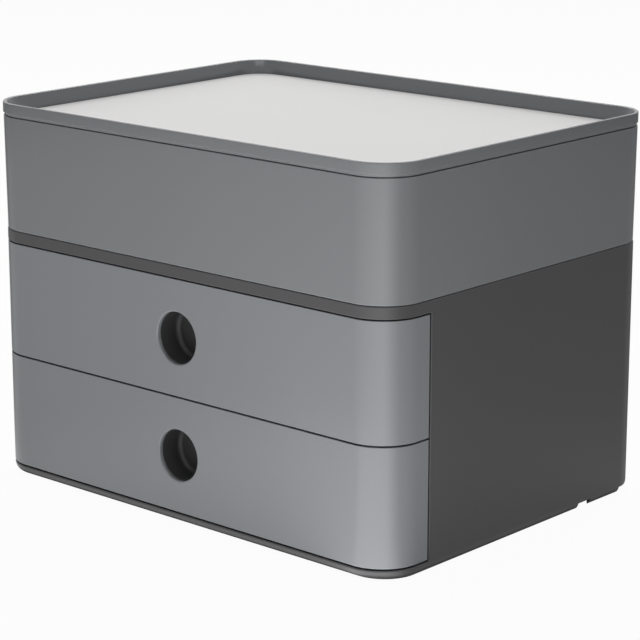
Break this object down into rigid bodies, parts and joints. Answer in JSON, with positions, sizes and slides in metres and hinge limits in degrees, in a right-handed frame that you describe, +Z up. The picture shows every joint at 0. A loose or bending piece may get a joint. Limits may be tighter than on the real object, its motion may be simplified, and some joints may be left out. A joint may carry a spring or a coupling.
{
  "type": "desktop file drawer",
  "caption": "Stacked desktop drawer unit: dark casing with round-hole drawers that pull forward, a lift-off utensil box on top and a tray lid with a pale plate.",
  "frame": {"origin": "on the standing surface, under the middle of the unit", "axes": "+X to the right seen from the front, the front faces -Y, +Z up"},
  "size_m": [0.26, 0.195, 0.19],
  "materials": {
    "casing": "fine satin moulded plastic, dark anthracite grey",
    "drawer_front": "glossy moulded plastic, mid blue-grey",
    "box": "glossy moulded plastic, mid grey",
    "lid": "glossy moulded plastic, mid grey",
    "plate": "satin off-white plastic",
    "drawer_tray": "satin dark grey moulded plastic",
    "runner": "self-lubricating black plastic",
    "rubber": "soft black rubber"
  },
  "bodies": {
    "casing": {"casing_shell": "casing", "rear_panel": "casing", "cable_bush_lower": "rubber", "cable_bush_upper": "rubber", "foot_front_left": "rubber", "foot_front_right": "rubber", "foot_rear_left": "rubber", "foot_rear_right": "rubber", "lower_runner_left": "runner", "lower_runner_right": "runner", "upper_runner_left": "runner", "upper_runner_right": "runner"},
    "lower_drawer": {"lower_front": "drawer_front", "lower_tray": "drawer_tray", "lower_stop_left": "runner", "lower_stop_right": "runner"},
    "upper_drawer": {"upper_front": "drawer_front", "upper_tray": "drawer_tray", "upper_stop_left": "runner", "upper_stop_right": "runner"},
    "utensil_box": {"box_shell": "box", "divider_long": "drawer_tray", "divider_left": "drawer_tray", "divider_right": "drawer_tray", "box_pad_front_left": "rubber", "box_pad_front_right": "rubber", "box_pad_rear_left": "rubber", "box_pad_rear_right": "rubber"},
    "lid": {"lid_frame": "lid", "lid_plate": "plate"}
  },
  "joints": [
    {"name": "lower_drawer_slide", "type": "slide", "parent": "casing", "child": "lower_drawer", "axis": [0, -1, 0], "range_m": [0, 0.11]},
    {"name": "upper_drawer_slide", "type": "slide", "parent": "casing", "child": "upper_drawer", "axis": [0, -1, 0], "range_m": [0, 0.11]},
    {"name": "box_lift", "type": "slide", "parent": "casing", "child": "utensil_box", "axis": [0, 0, 1], "range_m": [0, 0.06]},
    {"name": "lid_lift", "type": "slide", "parent": "utensil_box", "child": "lid", "axis": [0, 0, 1], "range_m": [0, 0.04]}
  ]
}
